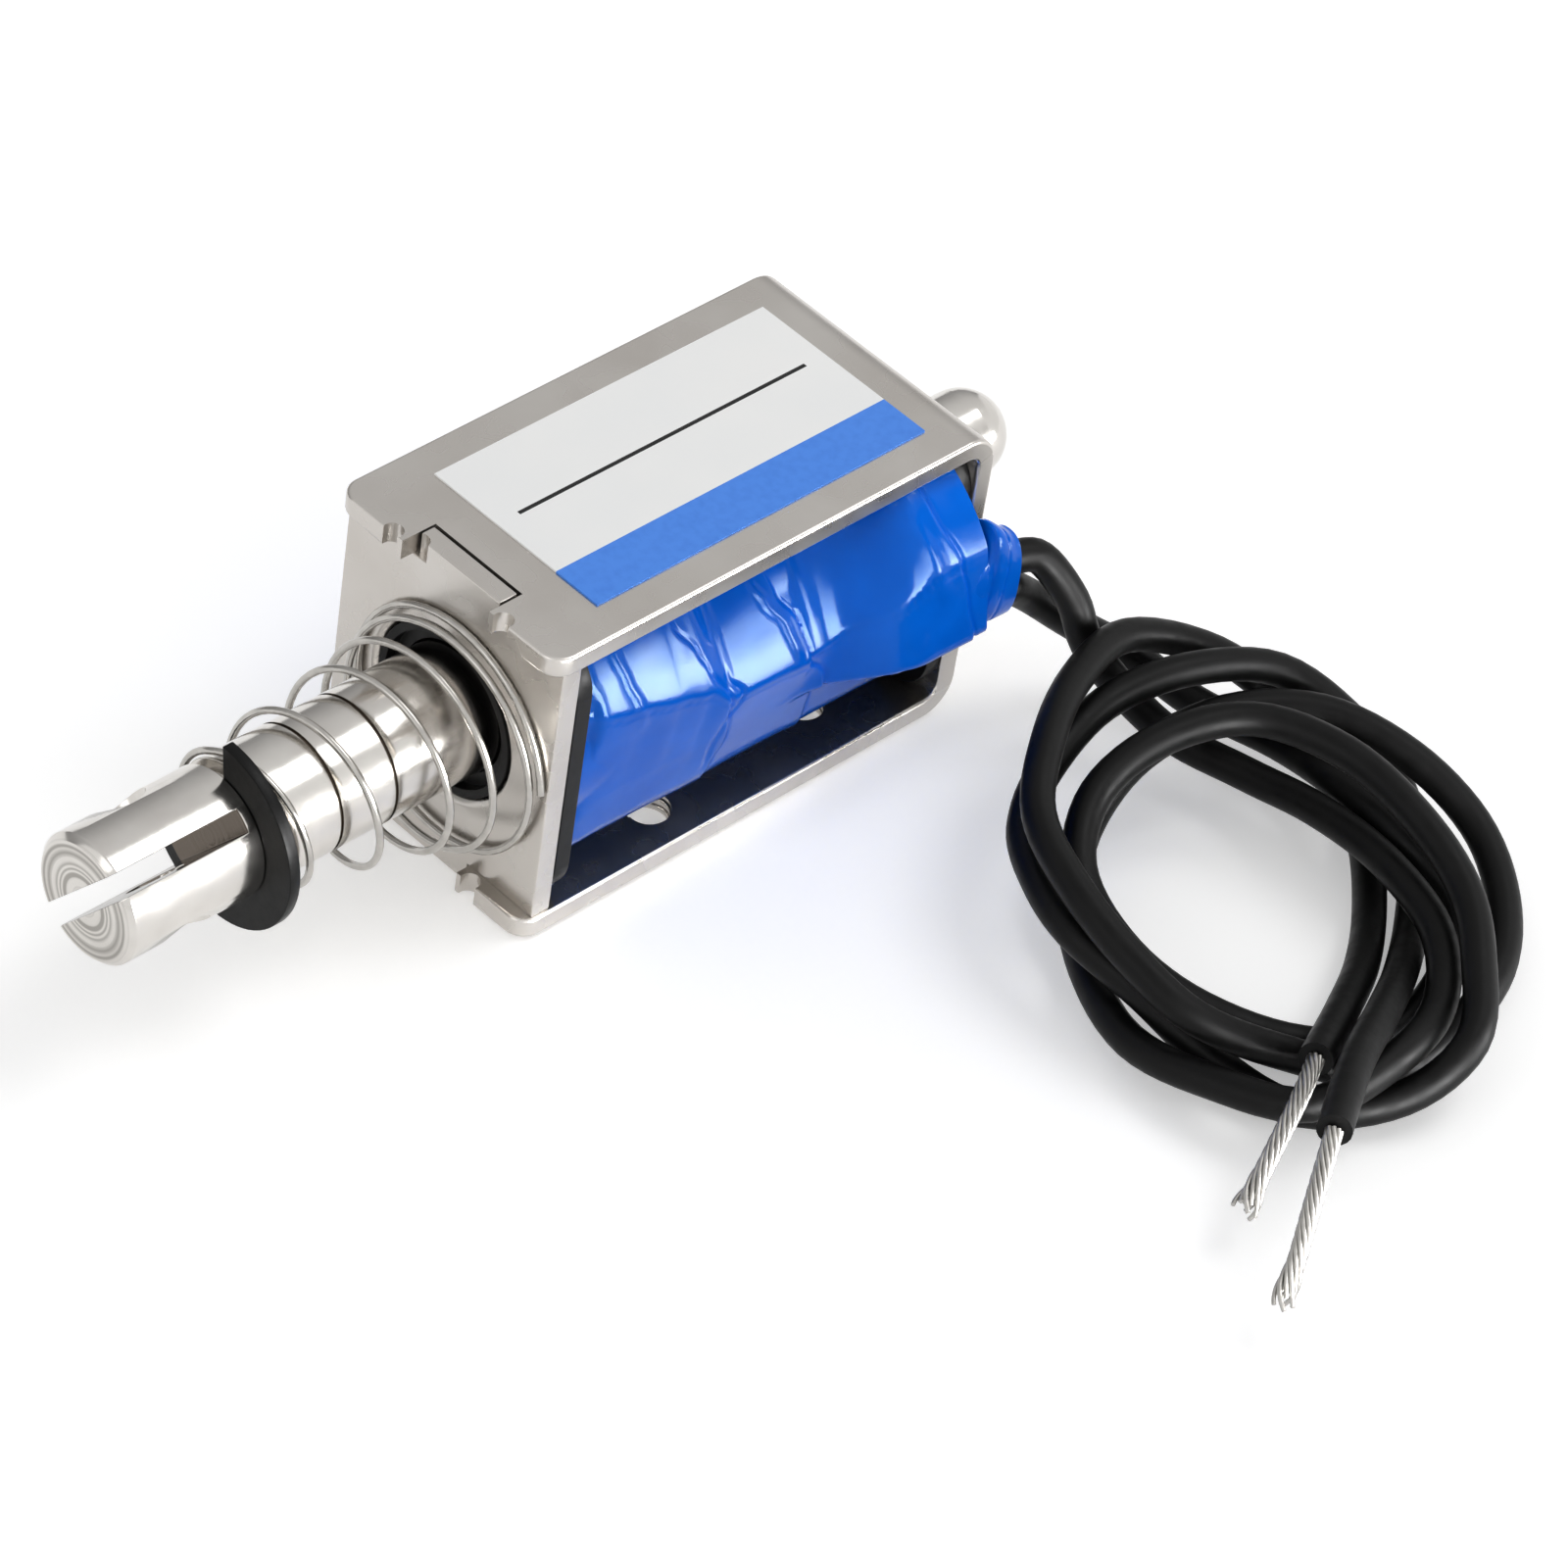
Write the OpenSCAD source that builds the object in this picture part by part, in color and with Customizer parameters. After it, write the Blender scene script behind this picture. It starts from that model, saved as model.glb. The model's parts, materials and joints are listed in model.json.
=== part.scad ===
// Push pull solenoid: a staked sheet steel yoke around a taped coil, with a
// slotted plunger that slides in the bobbin and a conical return spring.
// +X points to the plunger's tip, +Y to the open side where the leads come
// out, and +Z up. The origin is the middle of the yoke's bottom face.

/* [Yoke] */
// Length of the yoke, from its rear wall to its front edge
yoke_l = 30; // [28:0.5:34]
// Height over the two plates of the yoke
yoke_h = 18.5; // [18:0.5:22]
// Thickness of the yoke's sheet
sheet_t = 1.2; // [1:0.1:1.5]
// Outer radius of the two rear bends
bend_r = 2; // [1.6:0.1:3]
// Radius of the plates' front corners
corner_r = 1.2; // [0.5:0.1:2]

/* [Mounting holes] */
// Tap drill of the two M3 holes in the bottom plate
screw_d = 2.5; // [2:0.1:3]
// Distance of the front hole ahead of the yoke's middle
front_hole_x = 4.1; // [2:0.1:6]
// Distance of the front hole from the centre line
front_hole_y = 5.3; // [4:0.1:5.8]
// Distance of the rear hole behind the yoke's middle
rear_hole_x = 7.6; // [5:0.1:9]
// Distance of the rear hole from the centre line
rear_hole_y = 4.3; // [4:0.1:5.8]

/* [Front plate] */
// Thickness of the front plate
front_t = 1.2; // [1:0.1:1.5]
// How far the plates of the yoke reach past the front plate
lip = 0.8; // [0.5:0.1:1.2]
// Width of the tabs that join the front plate to the yoke
tab_w = 6; // [4:0.5:7]
// Gap around each tab
tab_gap = 0.15; // [0.05:0.05:0.3]
// Width of the punch marks that stake the tabs
punch_d = 1.1; // [0.8:0.1:1.4]
// Width of the bevel around the front plate's hole
rim_bevel = 0.3; // [0.1:0.1:0.4]

/* [Coil] */
// Thickness of the bobbin's flanges
flange_t = 1; // [0.8:0.1:1.4]
// Wall of the bobbin's tube
bobbin_wall = 0.75; // [0.6:0.05:0.9]
// Outer diameter of the bobbin's nose in the front plate
nose_d = 9.5; // [9.3:0.1:10]
// Depth of the step in the nose
nose_step = 0.6; // [0.3:0.1:0.9]
// Gap between the copper winding and each plate of the yoke
winding_gap = 0.45; // [0.35:0.05:1]
// Thickness of the tape where the coil bulges out of the yoke's open sides
wrap_t = 1.1; // [0.6:0.1:1.2]
// How far the yoke's strip reaches past the copper winding on each open side
strip_margin = 0.4; // [0.25:0.05:1]

/* [Plunger] */
// Diameter of the plunger
plunger_d = 7; // [6.6:0.1:7.2]
// Running gap around the plunger and the rod
run_gap = 0.08; // [0.04:0.01:0.1]
// Stroke of the plunger
stroke = 10; // [6:0.5:10]
// Reach of the plunger ahead of the front plate at rest
tip_reach = 22.6; // [21:0.2:24]
// Bevel at the plunger's tip
tip_bevel = 0.35; // [0.1:0.05:0.6]
// Width of the slot in the tip
slot_w = 1.25; // [1:0.05:1.8]
// Length of the slot
slot_l = 7.7; // [6:0.1:7.7]
// Diameter of the cross hole through the slot's ears
cross_d = 3.1; // [2.5:0.1:3.4]
// Distance of the cross hole from the tip
cross_in = 4; // [3.5:0.1:4.4]
// Turn of the slot's plane from level
slot_turn = 50; // [0:5:90]
// Diameter of the rod behind the plunger
rod_d = 4.9; // [4.5:0.1:5]
// Reach of the rod behind the yoke at rest
rod_reach = 9.25; // [8:0.25:11]
// Diameter of the rod's spigot in the plunger
spigot_d = 2.8; // [2:0.1:3.4]
// Length of the rod's spigot
spigot_l = 5; // [3:0.5:6]

/* [Core] */
// Length of the fixed core inside the yoke
core_l = 5.8; // [4:0.2:6.4]
// Diameter of the core's neck in the rear wall
neck_d = 6.4; // [6:0.1:6.5]
// Height of the riveted rim behind the rear wall
rivet_t = 0.25; // [0.15:0.05:0.4]
// Thickness of the shim washer on the plunger's shoulder
shim_t = 0.4; // [0.2:0.1:0.6]
// Gap that stays between the shim and the core at the end of the stroke
end_gap = 0.1; // [0.05:0.05:0.3]

/* [Clip and spring] */
// Distance from the tip to the clip's front face
clip_in = 8.3; // [8:0.05:9]
// Thickness of the clip
clip_t = 0.65; // [0.5:0.05:0.8]
// Outer diameter of the clip
clip_d = 10.6; // [9.6:0.1:11]
// Diameter of the clip's groove
groove_d = 5.6; // [5:0.1:6]
// Diameter of the spring's wire
wire_d = 0.4; // [0.3:0.05:0.5]
// Diameter of the spring's base, middle to middle of the wire
spring_base_d = 13.5; // [12.6:0.1:14]
// Rising turns of the spring, without its two flat ends
spring_turns = 4.96; // [3.96:1:4.96]
// How low the spring's base lies on the front plate
spring_droop = 1; // [0:0.1:1]

/* [Leads] */
// Diameter of each lead's insulation
lead_d = 1.8; // [1.6:0.05:1.8]
// Diameter of the bare strands
strand_d = 0.95; // [0.7:0.05:1]
// Wall of tape around the two leads
lead_tape_t = 0.2; // [0.1:0.05:0.3]
// Length of the sleeves over the two soldered joints
sleeve_l = 6; // [4:0.5:7]

/* [Label] */
// Length of the label
label_l = 22.2; // [18:0.2:24]
// Width of the label
label_w = 11.8; // [9:0.2:13]
// Thickness of the label
label_t = 0.1; // [0.05:0.05:0.2]
// How far the label sits behind the yoke's middle
label_back = 0.6; // [0:0.1:1]

/* [Hidden] */
$fn = 64;
eps = 0.01;
// A gap where a piece lies in another of the same body
seat_gap = 0.03;

front_x = yoke_l / 2;
rear_x = -yoke_l / 2;
axis_z = yoke_h / 2;
wall_x = rear_x + sheet_t;
plate_x = front_x - lip;
plate_back = plate_x - front_t;
room_h = yoke_h - 2 * sheet_t;
inner_bend_r = bend_r - sheet_t;

coil_front = plate_back - flange_t - seat_gap;
coil_rear = wall_x + flange_t + seat_gap;
coil_l = coil_front - coil_rear;
bore_r = plunger_d / 2 + run_gap;
tube_r = bore_r + bobbin_wall;
plate_hole_r = nose_d / 2 + seat_gap;
winding_d = room_h - 2 * winding_gap;
tape_w = winding_d + 2 * wrap_t;

// The coil fills the yoke's opening, and the strip is as wide as the coil needs
yoke_w = winding_d + 2 * strip_margin;
// The front plate and the flanges stop a little inside the strip's edges
inner_w = yoke_w - 0.4;
flange_r = 2.5;

tip_x = plate_x + tip_reach;
core_x = wall_x + core_l;
shim_x = core_x + end_gap + stroke;
shoulder_x = shim_x + shim_t;
rod_r = rod_d / 2;
rod_end = rear_x - rod_reach;
clip_x = tip_x - clip_in - clip_t;

// Where the leads leave the tape, one above the other
lead_x = rear_x + 0.1;
lead_y = tape_w / 2 + lead_tape_t + lead_d / 2;
lead_pitch = lead_d + lead_tape_t;
lead_mid_z = axis_z + 0.75;

// The routes of the two leads on the table, after their exits
LEAD_A = [
    [-15.6, 9.8, 11], [-17.1, 10.4, 10.6], [-18.1, 12.1, 8.5], [-18.6, 13.7, 5.7],
    [-20, 18, 2.9], [-21.5, 22.5, 2.4], [-22, 27, 3], [-21.5, 32, 3.6], [-20, 37, 3.5],
    [-16.5, 40.5, 3.2], [-11.5, 42, 3.6], [-6, 41.5, 3.4], [-4, 37, 2.5], [-3.5, 32, 1.6],
    [-5.5, 27, 1.4], [-8.5, 23, 1.9], [-12, 20.5, 2.8], [-16.5, 19.5, 4.2],
    [-21.5, 20.5, 5.2], [-25.5, 23.5, 5.3], [-27.5, 28, 4.5], [-28, 32.5, 2.9],
    [-26, 36.5, 1.9], [-22.5, 39.5, 1.3], [-17.5, 41, 1.1], [-12.5, 41, 1.3],
    [-8.5, 38, 2.5], [-5, 34.5, 4.3], [-4.5, 30, 5.4], [-5, 25.5, 6.4], [-6.5, 21.5, 7.2],
    [-10, 18.5, 7.8], [-14.5, 16, 7.8], [-20, 14.5, 6.8], [-25, 16.5, 4.5],
    [-27, 20.5, 2.4], [-26.5, 25, 1.3], [-24, 29, 0.9], [-20.5, 32.5, 1.1],
    [-16.5, 35.5, 2], [-12, 38, 3.5], [-7, 40.5, 5.1]];
LEAD_B = [
    [-15.6, 9.8, 9], [-17.4, 9.8, 7.5], [-20, 11, 5.1], [-22.5, 13.2, 3.2],
    [-23.5, 17, 2.2], [-24.5, 22, 2.5], [-24, 26.5, 3.4], [-23.5, 31, 3.7], [-23, 36, 2.4],
    [-19, 38.5, 1.2], [-14, 39, 1], [-10, 36.5, 1.4], [-7.5, 32, 2], [-7, 27.5, 2.8],
    [-8, 23.5, 4.2], [-11.5, 21, 5.5], [-16, 21, 6.7], [-20.5, 23, 7.1],
    [-22.5, 27.5, 7.1], [-22.5, 32.5, 6.6], [-21.5, 37, 5.6], [-19, 40.5, 4.7],
    [-15.5, 43.5, 3.6], [-11.5, 43, 1.7], [-7.5, 40, 0.9], [-6, 35.5, 1.4], [-5, 31, 3.2],
    [-4.5, 26.5, 4.1], [-5.5, 23, 4.4], [-7.5, 20, 4.5], [-11, 18, 5.1], [-16, 17, 6.1],
    [-21, 18, 6.5], [-26, 20, 5.3], [-28, 24, 3.3], [-27.5, 28, 1.9], [-25, 31.5, 1],
    [-21.5, 34.5, 1], [-17, 37.5, 2.6], [-12.5, 40, 4.6], [-7.5, 42.5, 6.2],
    [-2.5, 45.5, 7.1]];
STRANDS_A = [
    [-4.5, 41.8, 5], [-1.5, 43, 3.9], [1, 43.8, 2.1]];
STRANDS_B = [
    [0.5, 47.3, 5.7], [2.5, 48.5, 4], [4, 49.2, 2.1]];

// ---------- helpers ----------

// Places what is drawn along +Z on the plunger's axis, with its base at x
module along_axis(x) {
    translate([x, 0, axis_z]) rotate([0, 90, 0]) children();
}

module rod(x0, x1, d) {
    along_axis(x0) cylinder(h = x1 - x0, d = d);
}

module tube(x0, x1, outer_d, inner_d) {
    difference() {
        rod(x0, x1, outer_d);
        rod(x0 - 1, x1 + 1, inner_d);
    }
}

// A rectangle with four round corners, centred
module round_rect(w, h, r) {
    square([w - 2 * r, h], center = true);
    square([w, h - 2 * r], center = true);
    for (x = [-1, 1], y = [-1, 1])
        translate([x * (w / 2 - r), y * (h / 2 - r)]) circle(r);
}

// A flat outline in Y and Z, drawn with its own y as Z, extruded along +X
module across(x, t) {
    translate([x, 0, axis_z]) rotate([90, 0, 90]) linear_extrude(t) children();
}

function unit(v) = v / norm(v);

function heading(p, i) = unit(p[min(i + 1, len(p) - 1)] - p[max(i - 1, 0)]);

// The points of one ring around a route; up is never along the route
function ring(p, i, r, sides, up) =
    let (t = heading(p, i), u = unit(cross(up, t)), v = cross(t, u))
    [for (k = [0:sides - 1]) p[i] + r * (cos(360 * k / sides) * u + sin(360 * k / sides) * v)];

// One closed round bar along a list of points
module sweep(p, r, sides, up = [0, 0, 1]) {
    n = len(p);
    points = [for (i = [0:n - 1]) each ring(p, i, r, sides, up)];
    skin = [for (i = [0:n - 2], k = [0:sides - 1])
        let (a = i * sides + k, b = i * sides + (k + 1) % sides)
        [a, a + sides, b + sides, b]];
    ends = [[for (k = [0:sides - 1]) k],
        [for (k = [sides - 1:-1:0]) (n - 1) * sides + k]];
    polyhedron(points, concat(skin, ends), convexity = 10);
}

// ---------- yoke and front plate ----------

// Outline of the yoke seen from its side, closed at the rear by two bends
module side_outline(x0, x1, z0, z1, r) {
    translate([x0 + r, z0]) square([x1 - x0 - r, z1 - z0]);
    translate([x0, z0 + r]) square([x1 - x0, z1 - z0 - 2 * r]);
    for (z = [z0 + r, z1 - r]) translate([x0 + r, z]) circle(r);
}

module yoke_strip() {
    rotate([90, 0, 0]) linear_extrude(yoke_w, center = true) difference() {
        side_outline(rear_x, front_x, 0, yoke_h, bend_r);
        side_outline(wall_x, front_x + 1, sheet_t, yoke_h - sheet_t, inner_bend_r);
    }
}

// Plan of the strip, with its front corners rounded
module yoke_plan() {
    translate([rear_x - 1, -yoke_w / 2]) square([yoke_l + 1 - corner_r, yoke_w]);
    translate([front_x - 2 * corner_r, -yoke_w / 2 + corner_r])
        square([2 * corner_r, yoke_w - 2 * corner_r]);
    for (y = [-1, 1])
        translate([front_x - corner_r, y * (yoke_w / 2 - corner_r)]) circle(corner_r);
}

module punch(x, y, z0, z1) {
    translate([x, y, z0]) cylinder(h = z1 - z0, d = punch_d);
}

module frame() {
    punch_y = tab_w / 2 + 0.9 * punch_d;
    color([0.76, 0.75, 0.73]) difference() {
        intersection() {
            yoke_strip();
            translate([0, 0, -1]) linear_extrude(yoke_h + 2) yoke_plan();
        }
        // open notches that take the front plate's tabs
        translate([plate_back - tab_gap, -tab_w / 2 - tab_gap, -1])
            cube([front_x, tab_w + 2 * tab_gap, yoke_h + 2]);
        // stakes beside the tabs
        for (y = [-1, 1]) {
            punch(front_x - 0.15, y * punch_y, yoke_h - sheet_t - 1, yoke_h + 1);
            punch(front_x - 0.15, y * punch_y, -1, sheet_t + 1);
        }
        // mounting screws
        for (p = [[front_hole_x, front_hole_y], [-rear_hole_x, rear_hole_y]])
            translate([p[0], p[1], -1]) cylinder(h = sheet_t + 2, d = screw_d);
        rod(rear_x - 1, wall_x + 1, neck_d);
    }
}

module front_plate() {
    color([0.80, 0.79, 0.77]) difference() {
        union() {
            across(plate_back, front_t) square([inner_w, room_h], center = true);
            across(plate_back, front_t) square([tab_w, yoke_h], center = true);
        }
        rod(plate_back - 1, plate_x + 1, 2 * plate_hole_r);
        along_axis(plate_x - rim_bevel)
            cylinder(h = rim_bevel + eps, r1 = plate_hole_r, r2 = plate_hole_r + rim_bevel + eps);
        punch(plate_x + 0.1, -tab_w / 2 + 0.3, yoke_h - sheet_t, yoke_h + 1);
    }
}

module fixed_core() {
    color([0.60, 0.60, 0.62]) difference() {
        union() {
            rod(wall_x, core_x, plunger_d);
            rod(rear_x - rivet_t, wall_x + eps, neck_d - 2 * seat_gap);
            along_axis(rear_x - rivet_t)
                cylinder(h = rivet_t, d1 = neck_d + 0.6, d2 = neck_d + 1.2);
        }
        rod(rear_x - 2, core_x + 1, rod_d + 2 * run_gap);
    }
}

// ---------- coil ----------

// What fits between the yoke's plates, rounded at the rear like its bends
module yoke_room() {
    rotate([90, 0, 0]) linear_extrude(yoke_w, center = true)
        side_outline(wall_x, plate_back, sheet_t + seat_gap, yoke_h - sheet_t - seat_gap,
            inner_bend_r);
}

module flange(x) {
    across(x, flange_t) round_rect(inner_w, room_h - 2 * seat_gap, flange_r);
}

module bobbin() {
    step_r = (nose_d / 2 + bore_r) / 2 + 0.1;
    color([0.07, 0.07, 0.08]) difference() {
        union() {
            rod(wall_x, plate_back, 2 * tube_r);
            intersection() {
                flange(wall_x);
                yoke_room();
            }
            flange(plate_back - flange_t);
            rod(plate_back - eps, plate_x - 0.1, nose_d);
        }
        rod(wall_x - 1, plate_x + 1, 2 * bore_r);
        rod(plate_x - 0.1 - nose_step, plate_x + 1, 2 * step_r);
    }
}

module winding() {
    color([0.72, 0.36, 0.16])
        tube(coil_rear, coil_front, winding_d, 2 * (tube_r + seat_gap));
}

// The wrapped coil bulges out of the open sides and is flat at the plates
module coil_tape() {
    tape_h = room_h - 2 * seat_gap;
    color([0.05, 0.35, 0.80]) difference() {
        intersection() {
            rod(coil_rear, coil_front, tape_w);
            across(coil_rear, coil_l) square([tape_w + 2, tape_h], center = true);
        }
        rod(coil_rear - 1, coil_front + 1, winding_d + 2 * seat_gap);
    }
}

function lead_z(k) = lead_mid_z + k * lead_pitch / 2;

// Tape over the joints, on the coil's open side, out past the rear wall
module lead_tape() {
    cover_w = lead_d + 2 * lead_tape_t;
    cover_h = lead_pitch + cover_w;
    root = 1.2;
    cover_l = sleeve_l + 1;
    color([0.04, 0.30, 0.74]) difference() {
        translate([lead_x, lead_y - root / 2, lead_mid_z]) rotate([90, 0, 90])
            linear_extrude(cover_l) round_rect(cover_w + root, cover_h, 1.1);
        rod(lead_x - 1, lead_x + cover_l + 1, tape_w + 2 * seat_gap);
        translate([lead_x - 1, 0, 0])
            cube([coil_rear + 0.2 - lead_x + 1, yoke_w / 2 + 0.1, yoke_h]);
        for (k = [-1, 1]) translate([lead_x - 1, lead_y, lead_z(k)]) rotate([0, 90, 0])
            cylinder(h = sleeve_l + 1 + seat_gap, d = lead_d + 2 * seat_gap);
    }
}

module joint_sleeve(k) {
    color([0.16, 0.16, 0.15]) translate([lead_x, lead_y, lead_z(k)]) rotate([0, 90, 0])
        cylinder(h = sleeve_l, d = lead_d);
}

module joint_sleeve_a() { joint_sleeve(1); }
module joint_sleeve_b() { joint_sleeve(-1); }

module label() {
    color([0.93, 0.94, 0.95]) translate([-label_back, 0, yoke_h + label_t / 2])
        cube([label_l, label_w, label_t], center = true);
}

// ---------- plunger ----------

module plunger() {
    near_mark = 4.1;
    far_mark = 7.6;
    mark_w = 0.2;
    mark_cut = 0.1;
    color([0.80, 0.79, 0.78]) difference() {
        union() {
            rod(shoulder_x, tip_x - tip_bevel, plunger_d);
            along_axis(tip_x - tip_bevel)
                cylinder(h = tip_bevel, d1 = plunger_d, d2 = plunger_d - 2 * tip_bevel);
        }
        // groove for the clip
        tube(clip_x - seat_gap, clip_x + clip_t + seat_gap, plunger_d + 1, groove_d);
        // two turned marks between the clip and the yoke
        for (x = [clip_x - near_mark, clip_x - far_mark])
            tube(x - mark_w, x, plunger_d + 1, plunger_d - 2 * mark_cut);
        translate([tip_x, 0, axis_z]) rotate([slot_turn, 0, 0]) {
            translate([-slot_l, -plunger_d, -slot_w / 2])
                cube([slot_l + 1, 2 * plunger_d, slot_w]);
            translate([-cross_in, 0, -plunger_d])
                cylinder(h = 2 * plunger_d, d = cross_d);
        }
        rod(shoulder_x - 1, shoulder_x + spigot_l, spigot_d);
    }
}

module push_rod() {
    dome_x = rod_end + rod_r;
    color([0.74, 0.74, 0.75]) union() {
        rod(dome_x, shoulder_x, rod_d);
        along_axis(dome_x) sphere(r = rod_r);
        rod(shoulder_x - eps, shoulder_x + spigot_l - seat_gap, spigot_d);
    }
}

module shim_washer() {
    color([0.82, 0.66, 0.32])
        tube(shim_x, shoulder_x, plunger_d - 0.2, rod_d + 2 * seat_gap);
}

// ---------- clip and spring ----------

// An E-shaped clip: a ring with three inward lobes and a flared mouth on one side
module clip_outline() {
    grip_r = groove_d / 2 + seat_gap;
    relief_r = plunger_d / 2 - 0.2;
    mouth = groove_d - 1;
    mouth_in = 1.6;
    flare = clip_d / 2;
    difference() {
        circle(d = clip_d);
        circle(grip_r);
        difference() {
            circle(relief_r);
            for (a = [0, 110, -110]) rotate(a)
                translate([0, -relief_r]) square([2.4, 2 * relief_r], center = true);
        }
        translate([-mouth / 2, 0]) square([mouth, clip_d]);
        translate([0, mouth_in]) polygon([[-mouth / 2, 0], [mouth / 2, 0],
            [mouth / 2 + flare, flare], [-mouth / 2 - flare, flare]]);
    }
}

module retaining_clip() {
    clip_turn = 53;
    color([0.06, 0.06, 0.06]) across(clip_x, clip_t) rotate(clip_turn) clip_outline();
}

// Rise of the spring from the front plate to the clip, in shares of the span
function spring_rise(t) = lookup(t / spring_turns,
    [[0, 0], [0.15, 0.03], [0.3, 0.13], [0.45, 0.235], [0.6, 0.39], [0.75, 0.63],
        [0.88, 0.81], [1, 1]]);

module return_spring() {
    steps = 28;
    start = 133;
    // flat stretches of the wire, in turns, on the plate and behind the clip
    flat_base = 0.35;
    flat_end = 0.85;
    base_x = plate_x + wire_d / 2 + seat_gap;
    end_x = clip_x - wire_d / 2 - seat_gap;
    base_r = spring_base_d / 2;
    end_r = plunger_d / 2 + wire_d / 2 + 0.1;
    n = round((flat_base + spring_turns + flat_end) * steps);
    route = [for (i = [0:n])
        let (t = i / steps - flat_base, s = max(0, min(1, t / spring_turns)),
            r = base_r + (end_r - base_r) * s, low = spring_droop * (1 - s), a = start + 360 * t)
        [base_x + (end_x - base_x) * spring_rise(t), r * cos(a) + 0.82 * low,
            axis_z + r * sin(a) - 0.58 * low]];
    color([0.66, 0.65, 0.63]) sweep(route, wire_d / 2, 6, [1, 0, 0]);
}

// ---------- leads ----------

module lead_wire(k, route) {
    color([0.05, 0.05, 0.05])
        sweep(concat([[lead_x, lead_y, lead_z(k)]], route), lead_d / 2, 8);
}

module lead_wire_a() { lead_wire(1, LEAD_A); }
module lead_wire_b() { lead_wire(-1, LEAD_B); }

module conductor(route, strands) {
    color([0.82, 0.81, 0.80])
        sweep(concat([route[len(route) - 1]], strands), strand_d / 2, 8);
}

module conductor_a() { conductor(LEAD_A, STRANDS_A); }
module conductor_b() { conductor(LEAD_B, STRANDS_B); }

frame();
front_plate();
fixed_core();
bobbin();
winding();
coil_tape();
lead_tape();
joint_sleeve_a();
joint_sleeve_b();
label();
return_spring();
retaining_clip();
plunger();
push_rod();
shim_washer();
lead_wire_a();
lead_wire_b();
conductor_a();
conductor_b();
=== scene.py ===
"""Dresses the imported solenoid: finishes, softened edges, wrapped tape, label, spring, leads."""

import json
import math

import bmesh
import bpy
from mathutils import Matrix, Vector, noise


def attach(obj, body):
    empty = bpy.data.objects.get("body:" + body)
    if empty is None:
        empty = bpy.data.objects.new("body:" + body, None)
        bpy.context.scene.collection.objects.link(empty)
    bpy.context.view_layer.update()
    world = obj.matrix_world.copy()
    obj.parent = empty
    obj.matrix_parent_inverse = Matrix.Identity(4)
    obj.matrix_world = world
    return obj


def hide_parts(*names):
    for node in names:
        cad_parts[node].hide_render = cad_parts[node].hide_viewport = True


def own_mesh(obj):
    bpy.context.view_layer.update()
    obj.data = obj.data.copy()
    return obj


MM = 0.001  # sizes are in mm and angles in degrees, unless they say otherwise

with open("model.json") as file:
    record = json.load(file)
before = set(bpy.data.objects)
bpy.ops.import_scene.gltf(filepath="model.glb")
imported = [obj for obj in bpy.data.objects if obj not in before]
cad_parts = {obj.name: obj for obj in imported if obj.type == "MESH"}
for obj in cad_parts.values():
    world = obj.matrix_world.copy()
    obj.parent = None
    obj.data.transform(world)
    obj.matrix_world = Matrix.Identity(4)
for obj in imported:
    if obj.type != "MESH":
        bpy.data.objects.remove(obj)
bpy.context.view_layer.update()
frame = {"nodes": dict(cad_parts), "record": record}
NODES = frame["nodes"]
RECORD = frame["record"]


def extent(node, axis):
    """Lowest and highest place of a CAD solid along an axis, mm."""
    places = [vertex.co[axis] / MM for vertex in NODES[node].data.vertices]
    return min(places), max(places)


AXIS_Z = extent("frame", 2)[1] / 2  # the plunger runs through the middle of the yoke
PLATE_X = extent("front_plate", 0)[1]  # front face of the front plate
CLIP_X = extent("retaining_clip", 0)[0]  # rear face of the clip
TIP_X = extent("plunger", 0)[1]  # end face of the plunger's tip
PLUNGER_R = 3.5
SLOT_W, SLOT_L = 1.25, 7.7  # width and length of the plunger's slot
SLOT_TURN = math.radians(50)  # the slot's turn about the axis
TURNED_MARKS = (CLIP_X - 4.2, CLIP_X - 7.7)  # middles of the two marks behind the clip


# ---------- camera ----------

def place_camera():
    """A long lens, held a little off level, looking down at the slotted tip and the open side."""
    azimuth, elevation, roll = (math.radians(a) for a in (130.0, 42.35, 9.44))
    distance, across, above = 362.4, 6.85, -7.65
    aim = Vector((0, 0, 7))
    back = Vector((math.sin(azimuth) * math.cos(elevation),
                   -math.cos(azimuth) * math.cos(elevation), math.sin(elevation)))
    level = Vector((0, 0, 1)).cross(back).normalized()
    rise = back.cross(level)
    right = level * math.cos(roll) + rise * math.sin(roll)
    up = rise * math.cos(roll) - level * math.sin(roll)
    eye = aim + back * distance + right * across + up * above
    data = bpy.data.cameras.new("camera")
    data.lens = 165.6
    data.sensor_width = 36
    data.clip_start = 0.01
    camera = bpy.data.objects.new("camera", data)
    camera.matrix_world = (Matrix.Translation(eye * MM)
                           @ Matrix((right, up, back)).transposed().to_4x4())
    bpy.context.scene.collection.objects.link(camera)
    bpy.context.scene.camera = camera


place_camera()


# ---------- finishes ----------

def srgb(code):
    """Linear colour of a hex code such as "C8C4BE"."""
    parts = [int(code[i:i + 2], 16) / 255 for i in (0, 2, 4)]
    return [p / 12.92 if p <= 0.04045 else ((p + 0.055) / 1.055) ** 2.4 for p in parts] + [1.0]


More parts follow.
